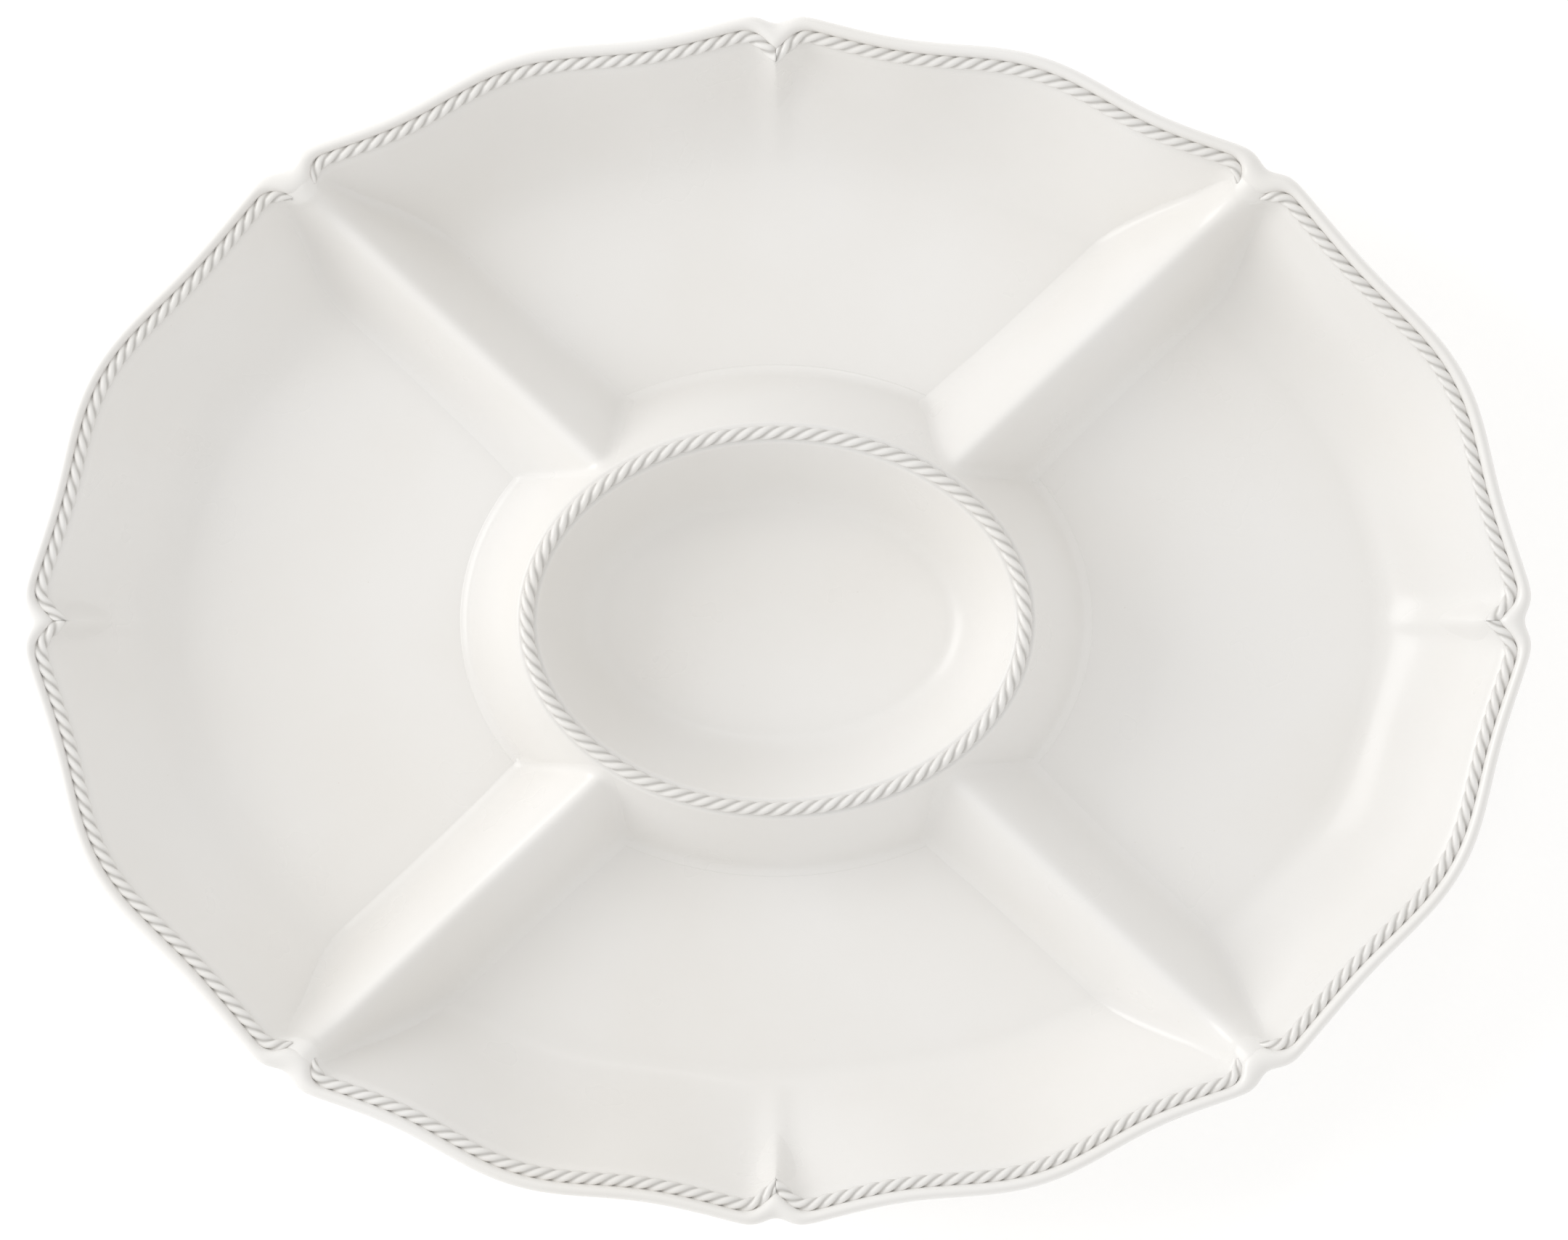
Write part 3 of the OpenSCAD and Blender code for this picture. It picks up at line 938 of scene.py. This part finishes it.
@dataclass
class Divider(LutedRidge):
    """A ridge from the dip bowl to a corner of the rim, luted to both and to the floor."""

    crest_height: float = 40 * MM
    crest_sag: float = 4 * MM
    crest_round: float = 5.5 * MM
    side_slope: float = 2.3
    knuckle_rise: float = 9.0 * MM
    knuckle_middle: float = 5.5 * MM
    knuckle_reach: float = 11.0 * MM
    knuckle_fillet: float = 3 * MM
    knuckle_fade: Pair = (12 * MM, 30 * MM)
    knuckle_top: float = 49.6 * MM
    start: float = -2.5 * MM
    end_inset: float = 4.0 * MM
    end_fade: float = 2.0 * MM
    end_drop: float = 0.8 * MM
    half_span: float = 27 * MM
    end_half_span: float = 6 * MM
    rim_inset: float = 5.0 * MM
    gap_half_width: float = 3.6 * MM
    gap_fade: float = 1.6 * MM
    floor_fillet: float = 8 * MM
    bowl_fillet: float = 5 * MM
    faces_along: int = 150
    faces_across: int = 60
    probes: int = 109

    def spans(self, start: Array, ahead: Array, along: Array, is_left: Array) -> Array:
        """Finds how far the divider's slip spreads to each side before it meets the rim.

        Args:
            start: Place in plan where the crest leaves the bowl.
            ahead: Direction of the crest.
            along: Distances along the crest.
            is_left: Whether each point lies to the left of the crest.

        Returns:
            Half widths at the points.
        """
        steps = np.linspace(0, self.half_span, self.probes)
        rows, row = np.unique(np.round(along, 7), return_inverse=True)
        reach = []
        for sign in (-1, 1):
            x, y = self.plan(start, ahead, rows[:, None], sign * steps)
            inset, _ = self.form.insets(x.ravel(), y.ravel())
            is_inside = (inset > self.rim_inset).reshape(x.shape) | (steps <= self.end_half_span)
            last = np.where(is_inside.all(axis=1), len(steps), np.argmin(is_inside, axis=1)) - 1
            reach.append(steps[last])
        return np.where(is_left, reach[1][row], reach[0][row])

    def build(self, corner: Corner) -> Item:
        """Lays one divider over the tray and the bowl's skirt.

        Args:
            corner: The corner that it runs to.

        Returns:
            The finished divider.
        """
        suffix, cusp = corner.value
        angle = float(self.form.cusps[cusp])
        turn = np.array([math.cos(angle), math.sin(angle)])
        inner = np.array([self.bowl.length, self.bowl.width]) / 2 * turn
        outer = np.array(self.form.half_axes) * turn
        length = float(np.hypot(*(outer - inner)))
        ahead = (outer - inner) / length

        piece = Bench.slab(f"divider_ridge_{suffix}", self.faces_along, self.faces_across)
        co = Bench.points(piece)
        along = self.start + (co[:, 0] + 0.5) * (length - self.end_inset - self.start)
        across = 2 * co[:, 1] * self.spans(inner, ahead, along, co[:, 1] > 0)
        x, y = self.plan(inner, ahead, along, across)

        tray = self.form.top_height(x, y)
        skirt = self.bowl.skirt_height(x, y, self.form.floor_top)
        support = np.maximum(tray, skirt)
        to_rim = length - along
        crest = self.crest_height - self.crest_sag * np.sin(np.pi * np.clip(along / length, 0, 1))
        from_knuckle = (to_rim - self.knuckle_middle) / self.knuckle_reach
        crest = crest + self.knuckle_rise * np.exp(-(from_knuckle**2))
        ridge = self.flanks(crest, across)
        at_knuckle = 1 - ease(to_rim, *self.knuckle_fade)
        fillet = self.floor_fillet + (self.knuckle_fillet - self.floor_fillet) * at_knuckle
        top = smooth_union(smooth_union(tray, ridge, fillet), skirt, self.bowl_fillet)
        top = np.minimum(top, np.maximum(support, self.knuckle_top))
        stands = np.where(ridge > support - self.floor_fillet, top - support, 0)
        at_gap = 1 - ease(np.abs(across), self.gap_half_width, self.gap_half_width + self.gap_fade)
        stands = stands * np.maximum(self.form.beside_rope(x, y), at_gap)
        at_end = 1 - ease(to_rim, self.end_inset, self.end_inset + self.end_fade)
        top = self.luted(support, stands) - self.end_drop * at_end
        self.lay(piece, x, y, support, top)
        return self.settle(piece, f"divider_{suffix}", Slot.GLAZE)


@dataclass
class RimRib(LutedRidge):
    """A short rib that carries the rim's inward turn at a side or an end."""

    crest_foot: float = 25.5 * MM
    run: float = 9.5 * MM
    crest_bend: float = 3.0 * MM
    crest_round: float = 1.8 * MM
    side_slope: float = 1.8
    half_span: float = 10 * MM
    fillet: float = 3.2 * MM
    tail: float = 5 * MM
    faces_along: int = 56
    faces_across: int = 44

    def build(self, side: Side) -> Item:
        """Lays one rib on the wall.

        Args:
            side: The side that it stands on.

        Returns:
            The finished rib.
        """
        suffix, cusp = side.value
        angle = float(self.form.cusps[cusp])
        tip_inset = self.form.wall_top_inset + self.form.pleat_depth
        edge = np.array(self.form.rim_point(np.array([angle]), 0, 0))[:, 0]
        inward = -edge / np.hypot(*edge)

        piece = Bench.slab(f"rib_under_turn_{suffix}", self.faces_along, self.faces_across)
        co = Bench.points(piece)
        first, last = self.form.wall_top_inset, tip_inset + self.run + self.tail
        inset = first + (co[:, 0] + 0.5) * (last - first)
        across = 2 * co[:, 1] * self.half_span
        x, y = self.plan(edge, inward, inset, across)

        support = self.form.top_height(x, y)
        beyond = inset - tip_inset
        fall = (beyond + np.hypot(beyond, self.crest_bend)) / 2
        seat = self.form.seat_in_height
        crest = seat - (seat - self.crest_foot) * fall / self.run
        top = smooth_union(support, self.flanks(crest, across), self.fillet)
        stands = (top - support) * self.form.beside_rope(x, y)
        self.lay(piece, x, y, support, self.luted(support, stands))
        return self.settle(piece, f"rim_rib_{suffix}", Slot.GLAZE)


@dataclass
class Rope(Piece):
    """A rope twisted from three strands of clay."""

    strand_radius: float = 1.24 * MM
    strand_offset: float = 0.89 * MM
    lay: float = 14.0 * MM
    step: float = 0.62 * MM
    around: int = 27
    fewest_sections: int = 8
    pool_shade_falloff: float = 1.6

    def reach(self, angle: Array) -> Array:
        """Distance from the rope's middle to its surface, by the angle past the lay's phase."""
        third = FULL_TURN / 3
        off = np.mod(angle + third / 2, third) - third / 2
        offset, radius = self.strand_offset, self.strand_radius
        return offset * np.cos(off) + np.sqrt(radius**2 - (offset * np.sin(off)) ** 2)

    def twist(
        self,
        name: str,
        middle: Array,
        outward: Array,
        stretch: Array,
        thin: Array,
        phase: Array,
        is_loop: bool,
    ) -> Item:
        """Twists a rope along a path.

        Args:
            name: Name of the piece.
            middle: Rows of x, y and z along the rope's middle.
            outward: Rows of x and y of each section's outward direction.
            stretch: How much wider than round each section is.
            thin: Share of the full radius at each section.
            phase: Angle of the lay at each section.
            is_loop: Whether the rope closes on itself.

        Returns:
            The rope, with the depth of its grooves as an attribute that darkens the glaze there: pooled
            glaze and painted shade.
        """
        count = len(middle)
        Bench.clear()
        bpy.ops.mesh.primitive_grid_add(x_subdivisions=count - 1, y_subdivisions=self.around, size=1)
        piece = Bench.named(name)
        co = Bench.points(piece)
        section = np.rint((co[:, 0] + 0.5) * (count - 1)).astype(int)
        notch = np.mod(np.rint((co[:, 1] + 0.5) * self.around).astype(int), self.around)
        turn = FULL_TURN * notch / self.around
        reach = self.reach(turn) * thin[section]
        angle = turn + phase[section]
        sideways = reach * np.cos(angle) * stretch[section]
        place = middle[section].copy()
        place[:, 0] += sideways * outward[section, 0]
        place[:, 1] += sideways * outward[section, 1]
        place[:, 2] += reach * np.sin(angle)
        Bench.place(piece, place)
        full = self.strand_offset + self.strand_radius
        deepest = full - self.reach(np.array([FULL_TURN / 6]))
        # Groove depth, which the glaze turns into darker grey: partly pooled glaze, partly painted
        # shade.
        groove = np.clip((full - self.reach(turn)) / deepest, 0, 1)
        pool_and_shade = piece.data.attributes.new("pool_and_shade", "FLOAT", "POINT")
        pool_and_shade.data.foreach_set("value", (groove**self.pool_shade_falloff).astype(np.float32))
        Bench.close(piece, cap=not is_loop, merge=2 * HAIR)
        return piece

    def spaced(self, track: Array) -> tuple[Array, float]:
        """Fractional row numbers of even sections along a track of x and y, and its length."""
        run = np.concatenate([[0], np.cumsum(np.hypot(*np.diff(track, axis=0).T))])
        count = max(self.fewest_sections, int(round(run[-1] / self.step)))
        return np.interp(np.linspace(0, run[-1], count), run, np.arange(len(track))), float(run[-1])


@dataclass
class RimRope(Rope):
    """One length of the rim's rope, along one lobe from cusp to cusp."""

    inset: float = 5.5 * MM
    height: float = 46.85 * MM
    mitre_reach: float = 4 * MM
    mitre_limit: float = 0.6
    taper: float = 6 * MM
    end_share: float = 0.35
    end_drop: float = 0.8 * MM
    track_steps: int = 3001
    off_cusp: float = 1e-7

    def build(self, lobe: int) -> Item:
        """Twists one length of rope.

        Args:
            lobe: The lobe's number, anticlockwise from +X.

        Returns:
            The finished rope.
        """
        cusps = self.form.cusps
        first, last = float(cusps[lobe]), float(cusps[lobe + 1])
        starts_at_side = lobe % 2 == 0
        trim = self.form.cusp_half_width
        if starts_at_side:
            last -= trim / float(self.form.pace(last))
        else:
            first += trim / float(self.form.pace(first))
        a = np.linspace(first, last, self.track_steps)
        inside = np.clip(a, first + self.off_cusp, last - self.off_cusp)
        track = np.column_stack(self.form.rim_point(inside, self.inset, 1))
        rows, length = self.spaced(track)
        along = np.linspace(0, length, len(rows))
        middle = np.column_stack([np.interp(rows, np.arange(len(a)), track[:, k]) for k in (0, 1)])
        ahead = np.gradient(middle, axis=0)
        ahead /= np.hypot(*ahead.T)[:, None]
        square = np.column_stack([ahead[:, 1], -ahead[:, 0]])

        from_side = along if starts_at_side else length - along
        to_corner = length - from_side
        tip = cusps[lobe] if starts_at_side else cusps[lobe + 1]
        mitre = np.array([math.cos(tip), math.sin(tip)])
        share = (1 - ease(from_side, 0, self.mitre_reach))[:, None]
        outward = square * (1 - share) + mitre * share
        outward /= np.hypot(*outward.T)[:, None]
        stretch = 1 / np.clip(np.sum(outward * square, axis=1), self.mitre_limit, 1)
        thin = self.end_share + (1 - self.end_share) * np.sqrt(ease(to_corner, 0, self.taper))
        drop = (1 - thin) * self.end_drop
        path = np.column_stack([middle, self.height - drop])
        phase = FULL_TURN * along / self.lay + lobe
        piece = self.twist(f"twisted_{ROPE_NODES[lobe]}", path, outward, stretch, thin, phase, False)
        return self.settle(piece, ROPE_NODES[lobe], Slot.GLAZE)


@dataclass
class BowlRope(Rope):
    """The closed rope on the dip bowl's rim."""

    def build(self) -> Item:
        """Twists the rope round the bowl."""
        inset = self.bowl.rope_width / 2
        a = np.linspace(0, FULL_TURN, FINE_STEPS)
        long, short = self.bowl.length / 2 - inset, self.bowl.width / 2 - inset
        track = np.column_stack([long * np.cos(a), short * np.sin(a)])
        rows, length = self.spaced(track)
        angle = np.interp(rows, np.arange(len(a)), a)
        outward = np.column_stack([short * np.cos(angle), long * np.sin(angle)])
        outward /= np.hypot(*outward.T)[:, None]
        height = self.bowl.height - self.strand_offset - self.strand_radius
        x, y = long * np.cos(angle), short * np.sin(angle)
        middle = np.column_stack([x, y, np.full(len(angle), height)])
        middle[-1], outward[-1] = middle[0], outward[0]
        turns = round(length / self.lay)
        phase = FULL_TURN * turns * np.linspace(0, 1, len(angle))
        plain = np.ones(len(angle))
        piece = self.twist("twisted_bowl_rope", middle, outward, plain, plain, phase, True)
        return self.settle(piece, "bowl_rope", Slot.GLAZE)


# ---- studio


@dataclass(frozen=True)
class Studio:
    """Pale table, soft light from the left and a camera straight above."""

    camera_height: float = 3.0
    frame_width: float = 0.4615
    camera_x: float = 2.35 * MM
    camera_y: float = 0.2 * MM
    sensor: float = 36.0
    view_depth: float = 50.0
    table_size: float = 12.0
    table_gap: float = 0.2 * MM
    key_place: tuple[float, float, float] = (-1.62, 0.42, 0.85)
    key_size: float = 1.3
    key_power: float = 13.5
    window_place: tuple[float, float, float] = (0.25, 1.3, 1.6)
    window_size: float = 0.3
    window_power: float = 0.6
    fill_colour: Colour = (1.0, 0.995, 0.985)
    fill_strength: float = 0.8

    def light_table(self, rim_height: float) -> None:
        """Sets up the table, the lights and the camera.

        Args:
            rim_height: Height at which the camera's frame width is measured.
        """
        Bench.clear()
        bpy.ops.mesh.primitive_plane_add(size=self.table_size, location=(0, 0, -self.table_gap))
        floor = Bench.named("table_top")
        bpy.ops.object.transform_apply(location=True)
        floor.data.materials.append(TableTop().mix())

        self.soft_box("key_light", Vector(self.key_place), self.key_size, self.key_power)
        self.soft_box("far_window", Vector(self.window_place), self.window_size, self.window_power)

        world = bpy.data.worlds.new("studio_air")
        bpy.context.scene.world = world
        world.use_nodes = True
        sky = world.node_tree.nodes["Background"]
        sky.inputs["Color"].default_value = (*self.fill_colour, 1)
        sky.inputs["Strength"].default_value = self.fill_strength

        lens = bpy.data.cameras.new("above")
        lens.sensor_width = self.sensor
        lens.lens = self.sensor * (self.camera_height - rim_height) / self.frame_width
        lens.clip_end = self.view_depth
        camera = bpy.data.objects.new("above", lens)
        camera.location = (self.camera_x, self.camera_y, self.camera_height)
        bpy.context.scene.collection.objects.link(camera)
        bpy.context.scene.camera = camera
        bpy.context.scene.view_settings.view_transform = "Standard"

    @staticmethod
    def soft_box(name: str, place: Vector, size: float, power: float) -> None:
        """Hangs a square soft light, of a power in watts, that faces the middle of the table."""
        data = bpy.data.lights.new(name, "AREA")
        data.shape = "SQUARE"
        data.size = size
        data.energy = power
        lamp = bpy.data.objects.new(name, data)
        lamp.location = place
        lamp.rotation_euler = (-place).to_track_quat("-Z", "Y").to_euler()
        bpy.context.scene.collection.objects.link(lamp)


def main() -> None:
    """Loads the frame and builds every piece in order."""
    logging.basicConfig(level=logging.INFO, format="%(message)s")
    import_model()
    form, bowl = OvalForm(), BowlForm()
    glaze, clay = Glaze().mix(), BareClay().mix()

    Tray(form, bowl, glaze).build()
    FootRing(form, bowl, clay).build()
    CentreBowl(form, bowl, glaze).build()
    BowlRope(form, bowl, glaze).build()
    for corner in Corner:
        Divider(form, bowl, glaze).build(corner)
    for side in Side:
        RimRib(form, bowl, glaze).build(side)
    for lobe in range(len(ROPE_NODES)):
        RimRope(form, bowl, glaze).build(lobe)

    Studio().light_table(form.height)


if __name__ == "__main__":
    main()
